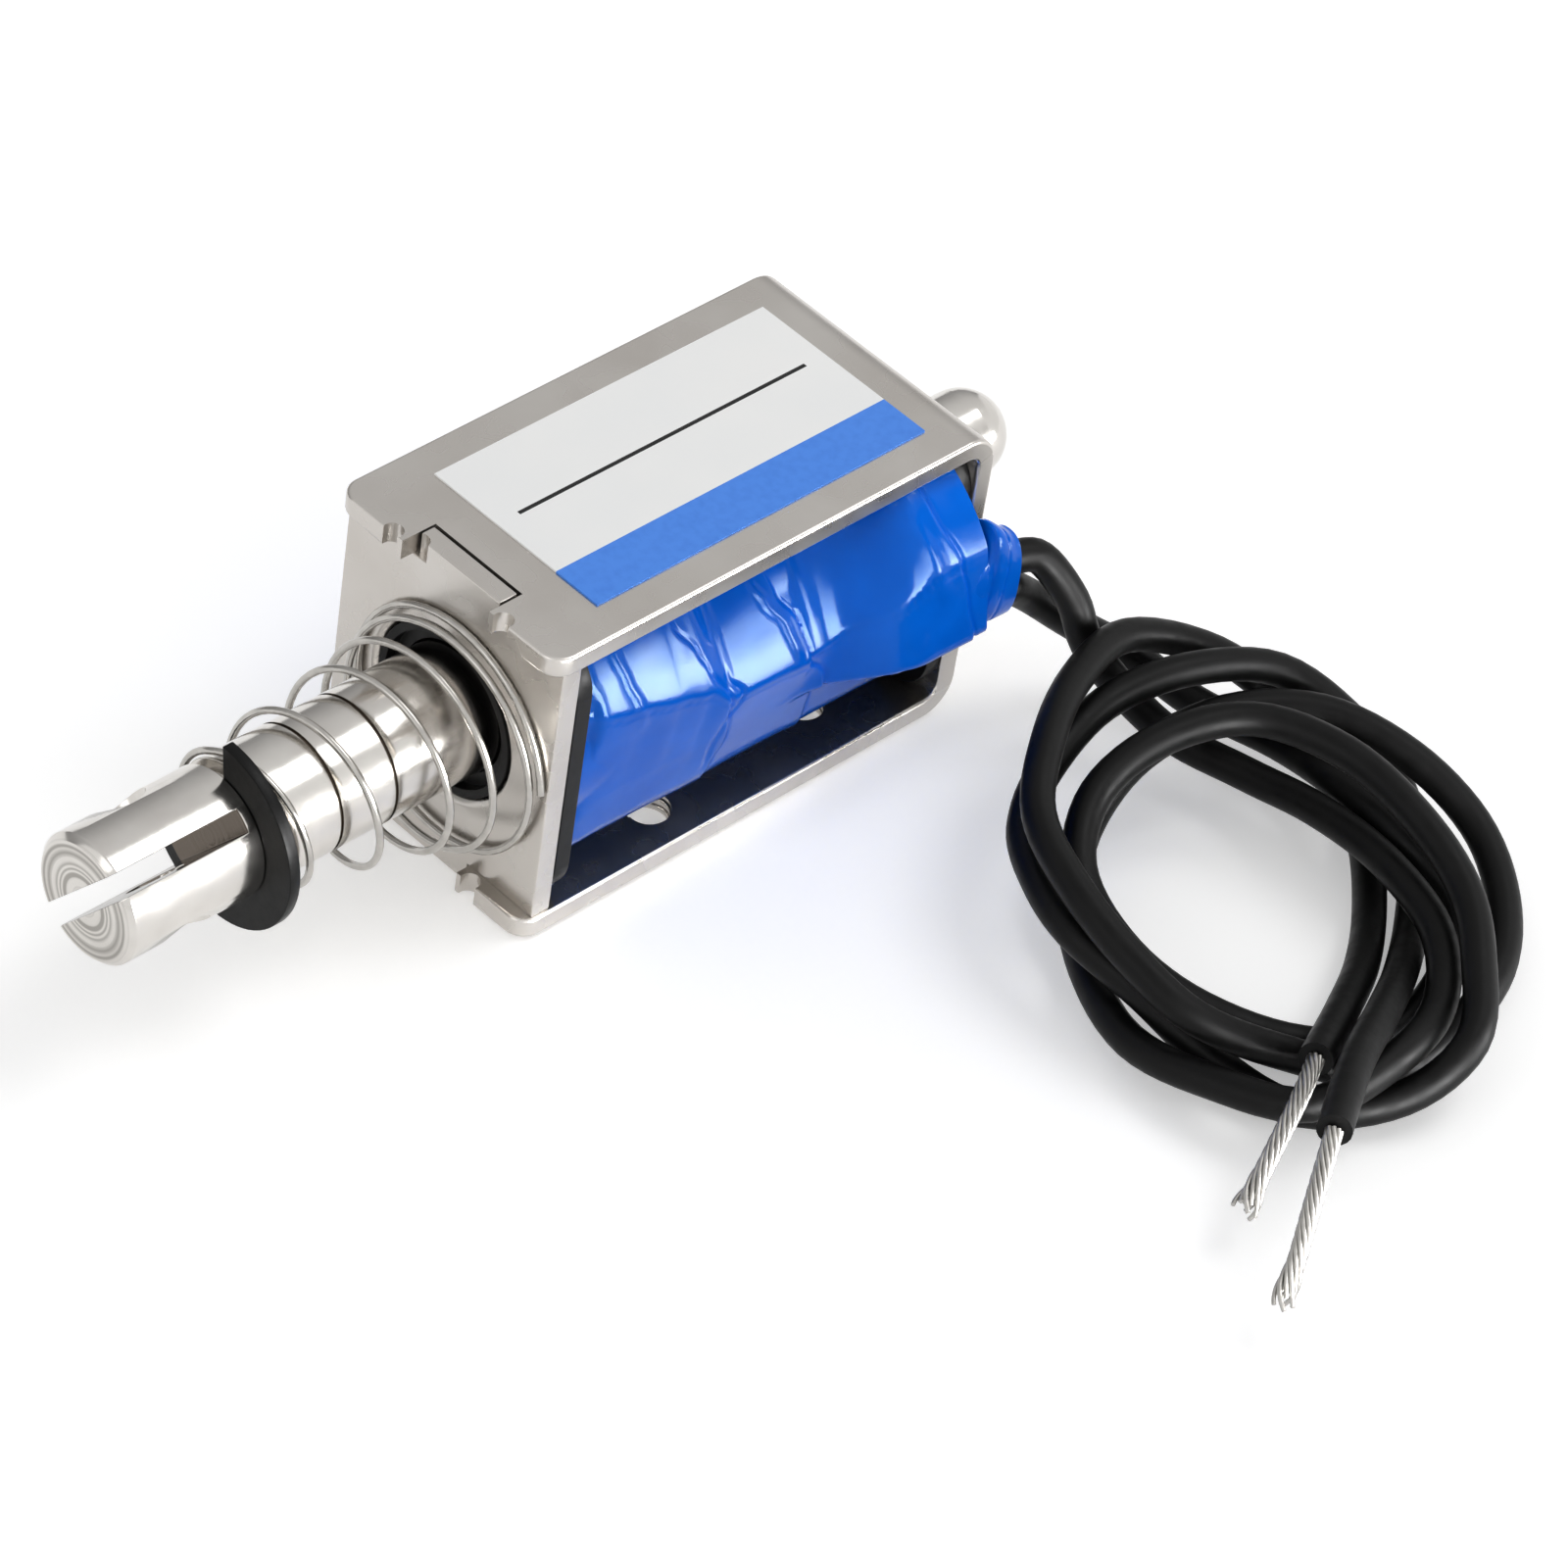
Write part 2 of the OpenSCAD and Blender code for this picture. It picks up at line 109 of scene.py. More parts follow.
def add(tree, kind, sockets=None, stops=(), **settings):
    """Adds a node; each socket is given a value, or another node's output to link.

    The stops of a ramp or of a curve are pairs of a position and its colour or value.
    """
    node = tree.nodes.new(kind)
    for name, value in settings.items():
        setattr(node, name, value)
    for name, value in (sockets or {}).items():
        if isinstance(value, bpy.types.NodeSocket):
            tree.links.new(value, node.inputs[name])
        else:
            node.inputs[name].default_value = value
    for i, (position, value) in enumerate(stops):
        if kind == "ShaderNodeValToRGB":
            line = node.color_ramp.elements
            point = line[i] if i < 2 else line.new(position)
            point.position, point.color = position, value
        else:
            line = node.mapping.curves[0].points
            point = line[i] if i < 2 else line.new(position, value)
            point.location = (position, value)
    return node.outputs


def finish(name, **values):
    """A new material; its shader's own sockets get the given values."""
    material = bpy.data.materials.new(name)
    material.use_nodes = True
    tree = material.node_tree
    shader = tree.nodes["Principled BSDF"]
    for socket, value in values.items():
        shader.inputs[socket.replace("_", " ")].default_value = value
    return material, tree, shader


NOISE_LOW, NOISE_HIGH = 0.3, 0.7  # most noise lies between these


def grain(tree, size_mm, stretch=(1, 1, 1), detail=2.0):
    """Noise whose blobs are about size_mm across, stretched along each axis."""
    at = add(tree, "ShaderNodeTexCoord")["Object"]
    scale = [1 / (size_mm * MM * s) for s in stretch]
    placed = add(tree, "ShaderNodeMapping", {"Vector": at, "Scale": scale})["Vector"]
    return add(tree, "ShaderNodeTexNoise", {"Vector": placed, "Scale": 1.0,
                                            "Detail": detail})["Fac"]


def mottled(tree, shader, size_mm, low, high):
    """Base colour that drifts between two hex colours over patches of size_mm."""
    drift = add(tree, "ShaderNodeValToRGB", {"Fac": grain(tree, size_mm, detail=3.0)},
                stops=[(NOISE_LOW, srgb(low)), (NOISE_HIGH, srgb(high))])["Color"]
    tree.links.new(drift, shader.inputs["Base Color"])
    return drift


def worn(tree, shader, size_mm, low, high):
    """Roughness that drifts between two values over patches of size_mm."""
    drift = add(tree, "ShaderNodeMapRange", {"Value": grain(tree, size_mm),
                                             "From Min": NOISE_LOW, "From Max": NOISE_HIGH,
                                             "To Min": low, "To Max": high})
    tree.links.new(drift["Result"], shader.inputs["Roughness"])


def relief(tree, shader, size_mm, depth_mm, stretch=(1, 1, 1)):
    """Fine relief, depth_mm deep, with grains of about size_mm."""
    uneven = add(tree, "ShaderNodeBump", {"Height": grain(tree, size_mm, stretch),
                                          "Distance": depth_mm * MM})["Normal"]
    tree.links.new(uneven, shader.inputs["Normal"])


def plated_sheet():
    """Nickel-plated cold-rolled sheet: satin and warm, with the faint cloud of barrel plating."""
    material, tree, shader = finish("nickel_plated_sheet", Metallic=1.0)
    mottled(tree, shader, 6.0, "C2BDB7", "CDC9C4")
    worn(tree, shader, 3.0, 0.25, 0.3)
    relief(tree, shader, 0.5, 0.0006)
    return material


def turned_nickel():
    """Turned steel bar under bright nickel: a mirror with rings that the tool left.

    Real tool marks are 0.05 mm apart; these are 0.3 mm apart, so that they show. The sawn slot
    and the bottoms of the two turned marks are painted dark: partly bare steel where the nickel
    is thin, partly painted shade in these narrow recesses.
    """
    ring_gap = 0.3
    drift_along = 0.3  # how fast the rings change along the axis, as a share of across it
    mark_half = 0.14  # half width of a turned mark
    edge = 0.01  # margin outside the slot's walls
    skin = 0.04  # margin past the slot's end and under the bar's surface
    material, tree, shader = finish("turned_nickel", Metallic=1.0)
    drift = mottled(tree, shader, 3.0, "CCC8C3", "D8D5D0")
    worn(tree, shader, 1.2, 0.13, 0.2)
    at = add(tree, "ShaderNodeTexCoord")["Object"]
    x = add(tree, "ShaderNodeSeparateXYZ", {"Vector": at})["X"]
    # places seen from the axis, with the slot lying level
    level = add(tree, "ShaderNodeMapping", {"Vector": at, "Location": (0, 0, AXIS_Z * MM),
                                            "Rotation": (SLOT_TURN, 0, 0)},
                vector_type="TEXTURE")["Vector"]
    above = add(tree, "ShaderNodeSeparateXYZ", {"Vector": level})["Z"]
    flat = add(tree, "ShaderNodeVectorMath", {0: level, 1: (0, 1, 1)}, operation="MULTIPLY")
    radius = add(tree, "ShaderNodeVectorMath", {0: flat["Vector"]}, operation="LENGTH")["Value"]

    # bare steel and painted shade: the slot's two walls and end, and the bottom of each mark
    between_walls = add(tree, "ShaderNodeMath", {0: above, 1: 0.0, 2: (SLOT_W / 2 + edge) * MM},
                        operation="COMPARE")["Value"]
    past_end = add(tree, "ShaderNodeMath", {0: x, 1: (TIP_X - SLOT_L - skin) * MM},
                   operation="GREATER_THAN")["Value"]
    bare = add(tree, "ShaderNodeMath", {0: between_walls, 1: past_end},
               operation="MULTIPLY")["Value"]
    sunk = add(tree, "ShaderNodeMath", {0: radius, 1: (PLUNGER_R - skin) * MM},
               operation="LESS_THAN")["Value"]
    for middle in TURNED_MARKS:
        at_mark = add(tree, "ShaderNodeMath", {0: x, 1: middle * MM, 2: mark_half * MM},
                      operation="COMPARE")["Value"]
        marked = add(tree, "ShaderNodeMath", {0: at_mark, 1: sunk}, operation="MULTIPLY")["Value"]
        bare = add(tree, "ShaderNodeMath", {0: bare, 1: marked}, operation="MAXIMUM")["Value"]

    # rings round the axis, which also run on slowly along it
    turned = add(tree, "ShaderNodeCombineXYZ", {"X": x, "Y": radius})["Vector"]
    spread = add(tree, "ShaderNodeMapping", {"Vector": turned,
                                             "Scale": (drift_along, 1, 1)})["Vector"]
    rings = add(tree, "ShaderNodeTexNoise", {"Vector": spread, "Scale": 1 / (ring_gap * MM),
                                             "Detail": 1.0})["Fac"]
    grooved = add(tree, "ShaderNodeBump", {"Height": rings, "Distance": 0.012 * MM})["Normal"]
    tree.links.new(grooved, shader.inputs["Normal"])

    # the faced end shows its rings as duller and brighter bands
    faced = add(tree, "ShaderNodeMath", {0: x, 1: (TIP_X - 0.1) * MM},
                operation="GREATER_THAN")["Value"]
    dull = add(tree, "ShaderNodeMapRange", {"Value": rings, "From Min": 0.38, "From Max": 0.55,
                                            "To Min": 0.75, "To Max": 0.0})["Result"]
    banded = add(tree, "ShaderNodeMath", {0: faced, 1: dull}, operation="MULTIPLY")["Value"]
    coloured = add(tree, "ShaderNodeMixRGB", {"Fac": banded, "Color1": drift,
                                              "Color2": srgb("837F79")})["Color"]
    # painted shade as well as bare steel: these places take a dark brown-grey
    coloured = add(tree, "ShaderNodeMixRGB", {"Fac": bare, "Color1": coloured,
                                              "Color2": srgb("5E554C")})["Color"]
    tree.links.new(coloured, shader.inputs["Base Color"])
    return material


WEAR = 0.15  # how far the roughness of an even surface drifts, as a share of it


def plain_metal(name, low, high, rough, size_mm=0.5):
    """Bare or plated metal with an even surface, in grains of size_mm."""
    material, tree, shader = finish(name, Metallic=1.0)
    mottled(tree, shader, size_mm * 3, low, high)
    worn(tree, shader, size_mm, rough * (1 - WEAR), rough * (1 + WEAR))
    relief(tree, shader, size_mm * 0.4, 0.001)
    return material


def plain_plastic(name, low, high, rough, shine, size_mm=0.3):
    """Moulded, extruded or blackened surface with a fine even grain."""
    material, tree, shader = finish(name, Specular_IOR_Level=shine)
    mottled(tree, shader, size_mm * 8, low, high)
    worn(tree, shader, size_mm * 3, rough * (1 - WEAR), rough * (1 + WEAR))
    relief(tree, shader, size_mm, 0.003)
    return material


def polyester_tape():
    """Blue polyester film tape: dyed glue under a clear, glossy film that barely waves."""
    under_top, under_end = 4.6, 3.4  # heights between which the underside turns dark
    # the dye tints what the film gives back, so the gloss has little red in it
    material, tree, shader = finish("polyester_tape", Specular_IOR_Level=0.2,
                                    Specular_Tint=srgb("CCF0FF"))
    film = mottled(tree, shader, 5.0, "005CD0", "046AE4")
    # painted shade: the underside, which the lamps barely reach, is painted almost navy, which also
    # darkens its reflection in the plate below
    at = add(tree, "ShaderNodeTexCoord")["Object"]
    height = add(tree, "ShaderNodeSeparateXYZ", {"Vector": at})["Z"]
    under = add(tree, "ShaderNodeMapRange", {"Value": height, "From Min": under_top * MM,
                                             "From Max": under_end * MM})["Result"]
    shaded_film = add(tree, "ShaderNodeMixRGB", {"Fac": under, "Color1": film,
                                             "Color2": srgb("001A48")})["Color"]
    tree.links.new(shaded_film, shader.inputs["Base Color"])
    worn(tree, shader, 2.0, 0.1, 0.15)
    relief(tree, shader, 1.6, 0.008, stretch=(2, 1, 1))
    return material


def label_film():
    """White printed film: a blue band along one edge and one thin black rule, with no words."""
    band_y = 2.95  # where the band starts
    rule_x, rule_y = -0.6, -1.3  # middle of the rule
    rule_half_l, rule_half_w = 9.7, 0.12
    material, tree, shader = finish("label_film", Specular_IOR_Level=0.3)
    paper = mottled(tree, shader, 6.0, "F8F9F9", "FCFCFB")
    ink = add(tree, "ShaderNodeValToRGB", {"Fac": grain(tree, 0.5, detail=3.0)},
              stops=[(0.25, srgb("4387EE")), (0.6, srgb("4A90F6"))])["Color"]
    at = add(tree, "ShaderNodeTexCoord")["Object"]
    place = add(tree, "ShaderNodeSeparateXYZ", {"Vector": at})
    band = add(tree, "ShaderNodeMath", {0: place["Y"], 1: band_y * MM},
               operation="GREATER_THAN")["Value"]
    in_length = add(tree, "ShaderNodeMath", {0: place["X"], 1: rule_x * MM, 2: rule_half_l * MM},
                    operation="COMPARE")["Value"]
    in_width = add(tree, "ShaderNodeMath", {0: place["Y"], 1: rule_y * MM, 2: rule_half_w * MM},
                   operation="COMPARE")["Value"]
    rule = add(tree, "ShaderNodeMath", {0: in_length, 1: in_width}, operation="MULTIPLY")["Value"]
    printed = add(tree, "ShaderNodeMixRGB", {"Fac": band, "Color1": paper,
                                             "Color2": ink})["Color"]
    ruled = add(tree, "ShaderNodeMixRGB", {"Fac": rule, "Color1": printed,
                                           "Color2": srgb("161616")})["Color"]
    tree.links.new(ruled, shader.inputs["Base Color"])
    worn(tree, shader, 2.0, 0.35, 0.45)
    return material


FINISHES = {
    "plated_sheet": plated_sheet(),
    "turned_steel": turned_nickel(),
    # turned and left bare, so greyer and duller than the plated parts
    "core_steel": plain_metal("turned_core_steel", "8F8D8A", "A5A29E", 0.32),
    # drawn through a die: bright and smooth
    "spring_wire": plain_metal("drawn_spring_wire", "ACA9A4", "BEBBB6", 0.2, 0.3),
    # blackened in a hot bath, then oiled: black with a soft shine
    "black_oxide": plain_plastic("black_oxide_steel", "050505", "0A0A0A", 0.38, 0.14, 0.2),
    # moulded in a fine-sparked tool: black and even
    "bobbin_black": plain_plastic("moulded_black_polyester", "060606", "0B0B0C", 0.4, 0.16),
    # clear enamel over drawn copper: a reddish metal that shines
    "coil_copper": plain_metal("enamelled_copper_wire", "A8552A", "BC6836", 0.25),
    "blue_tape": polyester_tape(),
    # shrunk on with hot air: dark grey and waxy
    "joint_sleeve": plain_plastic("shrunk_sleeve", "242422", "30302E", 0.4, 0.4),
    "label_film": label_film(),
    # punched from rolled strip: yellow and smooth
    "shim_brass": plain_metal("punched_brass_shim", "C9A251", "D6B163", 0.25),
    # extruded: matt black that only shines along its curves
    "lead_black": plain_plastic("vinyl_lead_insulation", "040404", "080808", 0.46, 0.14),
    # tin over fine copper wires: pale grey, dulled by handling
    "tinned_copper": plain_metal("tinned_copper_strand", "9A9894", "B2B0AC", 0.34, 0.2),
}


# ---------- shared mesh helpers ----------

def new_object(name, mesh):
    """A new object in the scene, at the origin, unturned."""
    obj = bpy.data.objects.new(name, mesh)
    bpy.context.scene.collection.objects.link(obj)
    return obj


def settle(obj):
    """Turns an object with modifiers into a plain mesh object."""
    graph = bpy.context.evaluated_depsgraph_get()
    mesh = bpy.data.meshes.new_from_object(obj.evaluated_get(graph))
    obj.modifiers.clear()
    obj.data = mesh
    return obj


def smooth(mesh, sharp_deg=35):
    """Smooth shading, kept crisp where two faces meet at more than the given angle."""
    bm = bmesh.new()
    bm.from_mesh(mesh)
    for face in bm.faces:
        face.smooth = True
    for edge in bm.edges:
        edge.smooth = edge.calc_face_angle(math.pi) < math.radians(sharp_deg)
    bm.to_mesh(mesh)
    bm.free()


def dress(obj, slot, body, *replaced):
    """Gives a finished piece the material of its finish slot and the body that carries it, and
    hides the parts it replaces.
    """
    obj.data.materials.clear()
    obj.data.materials.append(FINISHES[slot])
    for face in obj.data.polygons:
        face.material_index = 0
    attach(obj, body)
    if replaced:
        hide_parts(*replaced)


def softened(node, edge_mm, spared=lambda middle: False, segments=2):
    """A copy of a CAD solid with the small round that tumbling and plating leave on its edges.

    Edges whose middle (mm) is spared keep their sheared corner, where there is no room for it.
    """
    hard, level = math.radians(38), math.radians(0.6)  # angles at an edge and within a flat
    mesh = NODES[node].data.copy()
    bm = bmesh.new()
    bm.from_mesh(mesh)
    bmesh.ops.remove_doubles(bm, verts=bm.verts, dist=0.001 * MM)
    bmesh.ops.dissolve_limit(bm, angle_limit=level, verts=bm.verts, edges=bm.edges)
    rounded = [edge for edge in bm.edges if edge.calc_face_angle(0) > hard
               and not spared((edge.verts[0].co + edge.verts[1].co) / 2 / MM)]
    bmesh.ops.bevel(bm, geom=rounded, offset=edge_mm * MM, offset_type="OFFSET",
                    segments=segments, profile=0.5, affect="EDGES", clamp_overlap=False)
    bm.to_mesh(mesh)
    bm.free()
    obj = new_object(node + "_piece", mesh)
    smooth(obj.data)
    weigh = obj.modifiers.new("normals", "WEIGHTED_NORMAL")
    weigh.keep_sharp = True
    return settle(obj)


def new_mesh(name, rings):
    """A closed skin over rings of points in mm; the last ring joins the first again."""
    bm = bmesh.new()
    rows = [[bm.verts.new(p * MM) for p in ring] for ring in rings]
    for one, two in zip(rows, rows[1:] + rows[:1]):
        for k in range(len(one)):
            # k - 1 joins the first point to the last one
            bm.faces.new((one[k - 1], one[k], two[k], two[k - 1]))
    bmesh.ops.recalc_face_normals(bm, faces=bm.faces)
    mesh = bpy.data.meshes.new(name)
    bm.to_mesh(mesh)
    bm.free()
    return mesh


def poly_curve(name, points):
    """A curve object through points in mm."""
    curve = bpy.data.curves.new(name, "CURVE")
    curve.dimensions = "3D"
    line = curve.splines.new("POLY")
    line.points.add(len(points) - 1)
    for point, p in zip(line.points, points):
        point.co = (*(p * MM), 1)
    return new_object(name, curve)


def node_tree(name, inputs):
    """A Geometry Nodes tree with a geometry input and named sizes, which are given in metres."""
    tree = bpy.data.node_groups.new(name, "GeometryNodeTree")
    tree.interface.new_socket("Geometry", in_out="INPUT", socket_type="NodeSocketGeometry")
    for label, kind in inputs.items():
        tree.interface.new_socket(label, in_out="INPUT", socket_type="NodeSocket" + kind)
    tree.interface.new_socket("Geometry", in_out="OUTPUT", socket_type="NodeSocketGeometry")
    return tree, add(tree, "NodeGroupInput")


def close_tree(tree, geometry, slot):
    """Ends a tree in plain, smooth, dressed geometry."""
    real = add(tree, "GeometryNodeRealizeInstances", {"Geometry": geometry})["Geometry"]
    even = add(tree, "GeometryNodeSetShadeSmooth", {"Geometry": real})["Geometry"]
    dressed = add(tree, "GeometryNodeSetMaterial", {"Geometry": even,
                                                    "Material": FINISHES[slot]})["Geometry"]
    tree.links.new(dressed, tree.nodes.new("NodeGroupOutput").inputs["Geometry"])


def grow(obj, tree, **values):
    """Runs a tree on an object with the given sizes and leaves a plain mesh object."""
    modifier = obj.modifiers.new(tree.name, "NODES")
    modifier.node_group = tree
    for item in tree.interface.items_tree:
        key = item.name.replace(" ", "_")
        if item.in_out == "INPUT" and key in values:
            modifier[item.identifier] = values[key]
    mesh = bpy.data.meshes.new_from_object(
        obj.evaluated_get(bpy.context.evaluated_depsgraph_get()))
    name = obj.name
    bpy.data.objects.remove(obj)
    piece = new_object(name, mesh)
    piece.data.name = name
    return piece


def bar(tree, curve, radius, sides):
    """A round closed bar along every line of a curve."""
    outline = add(tree, "GeometryNodeCurvePrimitiveCircle", {"Resolution": sides,
                                                             "Radius": radius})["Curve"]
    return add(tree, "GeometryNodeCurveToMesh", {"Curve": curve, "Profile Curve": outline,
                                                 "Fill Caps": True})["Mesh"]


# ---------- leads ----------

LEAD_D = 1.8
BARE_D = 0.95  # across all the strands of one bare end
OUTER_STRANDS = 9  # strands laid round the core
LEAD_A = [
    (-14.9, 9.8, 11), (-15.6, 9.8, 11), (-17.1, 10.4, 10.6), (-18.1, 12.1, 8.5),
    (-18.6, 13.7, 5.7), (-20, 18, 2.9), (-21.5, 22.5, 2.4), (-22, 27, 3),
    (-21.5, 32, 3.6), (-20, 37, 3.5), (-16.5, 40.5, 3.2), (-11.5, 42, 3.6),
    (-6, 41.5, 3.4), (-4, 37, 2.5), (-3.5, 32, 1.6), (-5.5, 27, 1.4), (-8.5, 23, 1.9),
    (-12, 20.5, 2.8), (-16.5, 19.5, 4.2), (-21.5, 20.5, 5.2), (-25.5, 23.5, 5.3),
    (-27.5, 28, 4.5), (-28, 32.5, 2.9), (-26, 36.5, 1.9), (-22.5, 39.5, 1.3),
    (-17.5, 41, 1.1), (-12.5, 41, 1.3), (-8.5, 38, 2.5), (-5, 34.5, 4.3),
    (-4.5, 30, 5.4), (-5, 25.5, 6.4), (-6.5, 21.5, 7.2), (-10, 18.5, 7.8),
    (-14.5, 16, 7.8), (-20, 14.5, 6.8), (-25, 16.5, 4.5), (-27, 20.5, 2.4),
    (-26.5, 25, 1.3), (-24, 29, 0.9), (-20.5, 32.5, 1.1), (-16.5, 35.5, 2),
    (-12, 38, 3.5), (-7, 40.5, 5.1)]
LEAD_B = [
    (-14.9, 9.8, 9), (-15.6, 9.8, 9), (-17.4, 9.8, 7.5), (-20, 11, 5.1),
    (-22.5, 13.2, 3.2), (-23.5, 17, 2.2), (-24.5, 22, 2.5), (-24, 26.5, 3.4),
    (-23.5, 31, 3.7), (-23, 36, 2.4), (-19, 38.5, 1.2), (-14, 39, 1), (-10, 36.5, 1.4),
    (-7.5, 32, 2), (-7, 27.5, 2.8), (-8, 23.5, 4.2), (-11.5, 21, 5.5), (-16, 21, 6.7),
    (-20.5, 23, 7.1), (-22.5, 27.5, 7.1), (-22.5, 32.5, 6.6), (-21.5, 37, 5.6),
    (-19, 40.5, 4.7), (-15.5, 43.5, 3.6), (-11.5, 43, 1.7), (-7.5, 40, 0.9),
    (-6, 35.5, 1.4), (-5, 31, 3.2), (-4.5, 26.5, 4.1), (-5.5, 23, 4.4), (-7.5, 20, 4.5),
    (-11, 18, 5.1), (-16, 17, 6.1), (-21, 18, 6.5), (-26, 20, 5.3), (-28, 24, 3.3),
    (-27.5, 28, 1.9), (-25, 31.5, 1), (-21.5, 34.5, 1), (-17, 37.5, 2.6),
    (-12.5, 40, 4.6), (-7.5, 42.5, 6.2), (-2.5, 45.5, 7.1)]
STRANDS_A = [(-7, 40.5, 5.1), (-4.5, 41.8, 5), (-1.5, 43, 3.9), (1, 43.8, 2.1)]
STRANDS_B = [(-2.5, 45.5, 7.1), (0.5, 47.3, 5.7), (2.5, 48.5, 4), (4, 49.2, 2.1)]


def smooth_route(points, steps):
    """Points on the curve that passes through the given ones, steps to each span."""
    p = [Vector(q) for q in points]
    p = [2 * p[0] - p[1]] + p + [2 * p[-1] - p[-2]]
    route = []
    # each span is a cubic that leaves one point and meets the next without a kink
    for a, b, c, d in zip(p, p[1:], p[2:], p[3:]):
        for k in range(steps):
            t = k / steps
            route.append(0.5 * (2 * b + (c - a) * t + (2 * a - 5 * b + 4 * c - d) * t ** 2
                                + (3 * b - a - 3 * c + d) * t ** 3))
    return route + [p[-2]]


def insulation_tree():
    """Insulation along a route: a round bar with flat cut ends."""
    tree, given = node_tree("insulation", {"Radius": "Float"})
    close_tree(tree, bar(tree, given["Geometry"], given["Radius"], 18), "lead_black")
    return tree


def strand_tree():
    """Tinned strands laid round a core of others, cut unevenly and a little loose at their ends.

    Looseness is how far the loosest strand may stand off at its tip.
    """
    core_share, laid_at = 2.0, 2.9  # the core's radius, and the strands' reach, in strand radii
    tree, given = node_tree("twisted_strands", {"Strand radius": "Float", "Lay": "Float",
                                                "Looseness": "Float", "Seed": "Int"})
    line = add(tree, "GeometryNodeResampleCurve", {"Curve": given["Geometry"], "Count": 56})
    copies = add(tree, "GeometryNodeDuplicateElements",
                 {"Geometry": line["Curve"], "Amount": OUTER_STRANDS}, domain="SPLINE")
    place = add(tree, "GeometryNodeSplineParameter")
    chance = add(tree, "FunctionNodeRandomValue", {"ID": copies["Duplicate Index"],
                                                   "Seed": given["Seed"]})[1]

    # each strand winds round the core from its own share of a turn
    wound = add(tree, "ShaderNodeMath", {0: place["Length"], 1: given["Lay"]},
                operation="DIVIDE")["Value"]
    turns = add(tree, "ShaderNodeMath", {0: copies["Duplicate Index"], 1: 1 / OUTER_STRANDS,
                                         2: wound}, operation="MULTIPLY_ADD")["Value"]
    angle = add(tree, "ShaderNodeMath", {0: turns, 1: math.tau}, operation="MULTIPLY")["Value"]
    aside = add(tree, "ShaderNodeVectorRotate",
                {"Vector": add(tree, "GeometryNodeInputNormal")["Normal"],
                 "Axis": add(tree, "GeometryNodeInputTangent")["Tangent"], "Angle": angle})

    # the last three tenths come loose, more and more towards the tip
    past = add(tree, "ShaderNodeMapRange", {"Value": place["Factor"], "From Min": 0.7})["Result"]
    bent = add(tree, "ShaderNodeMath", {0: past, 1: 2.0}, operation="POWER")["Value"]
    slack = add(tree, "ShaderNodeMath", {0: chance, 1: given["Looseness"]},
                operation="MULTIPLY")["Value"]
    loose = add(tree, "ShaderNodeMath", {0: bent, 1: slack}, operation="MULTIPLY")["Value"]
    reach = add(tree, "ShaderNodeMath", {0: given["Strand radius"], 1: laid_at, 2: loose},
                operation="MULTIPLY_ADD")["Value"]
    shift = add(tree, "ShaderNodeVectorMath", {0: aside["Vector"], "Scale": reach},
                operation="SCALE")["Vector"]
    laid = add(tree, "GeometryNodeSetPosition", {"Geometry": copies["Geometry"],
                                                 "Offset": shift})["Geometry"]

    # the shears left the strands up to 7% shorter than one another, and the core shorter still
    kept = add(tree, "ShaderNodeMath", {0: chance, 1: 0.07, 2: 0.93},
               operation="MULTIPLY_ADD")["Value"]
    cut = add(tree, "GeometryNodeTrimCurve", {"Curve": laid, "End": kept})["Curve"]
    core = add(tree, "GeometryNodeTrimCurve", {"Curve": line["Curve"], "End": 0.9})["Curve"]
    core_r = add(tree, "ShaderNodeMath", {0: given["Strand radius"], 1: core_share},
                 operation="MULTIPLY")["Value"]
    both = tree.nodes.new("GeometryNodeJoinGeometry")
    for part in (bar(tree, cut, given["Strand radius"], 8), bar(tree, core, core_r, 10)):
        tree.links.new(part, both.inputs["Geometry"])
    close_tree(tree, both.outputs["Geometry"], "tinned_copper")
    return tree


INSULATION = insulation_tree()
STRANDS = strand_tree()


def lead(letter, points, strands, seed):
    """One lead: black insulation along its whole route, and the bare strands at its end."""
    route = smooth_route(points, 6)
    strand_r = BARE_D / 7.8  # core and strands laid round it are 7.8 strand radii across
    bare = grow(poly_curve(f"strands_{letter}", smooth_route(strands, 8)), STRANDS,
                Strand_radius=strand_r * MM, Lay=-6 * MM, Looseness=0.45 * MM, Seed=seed)
    dress(bare, "tinned_copper", "housing", f"conductor_{letter}")
    cover = grow(poly_curve(f"lead_{letter}", route), INSULATION, Radius=LEAD_D / 2 * MM)
    dress(cover, "lead_black", "housing", f"lead_wire_{letter}")


lead("a", LEAD_A, STRANDS_A, 4)
lead("b", LEAD_B, STRANDS_B, 9)


# ---------- wrapped tape ----------

TAPE_REAR, TAPE_FRONT = -12.75, 11.95  # where the tape meets the bobbin's flanges
INNER_R = 7.64  # inside of the tape, round the winding
FILM = 0.12  # thickness of the tape's layers together, where it stands off the winding
PLATE_SIDE = 7.98  # half the height between the yoke's plates


def along(x, stops):
    """A value that runs smoothly through (x, value) stops, which fall in x."""
    if x >= stops[0][0]:
        return stops[0][1]
    for (x0, v0), (x1, v1) in zip(stops, stops[1:]):
        if x >= x1:
            t = (x0 - x) / (x0 - x1)
            return v0 + (v1 - v0) * t * t * (3 - 2 * t)
    return stops[-1][1]


def between(value, low, high):
    """The value, held between two limits."""
    return min(max(value, low), high)


def soft_min(a, b, width):
    """The lesser of two values, with the change from one to the other rounded over a width."""
    overlap = max(width - abs(a - b), 0) / width
    return min(a, b) - overlap * overlap * width / 4


def soft_max(a, b, width):
    """The greater of two values, rounded in the same way."""
    return -soft_min(-a, -b, width)


def bump(distance, half_width):
    """A rounded rise to 1 where the distance is nought."""
    return math.exp(-(distance / half_width) ** 2)


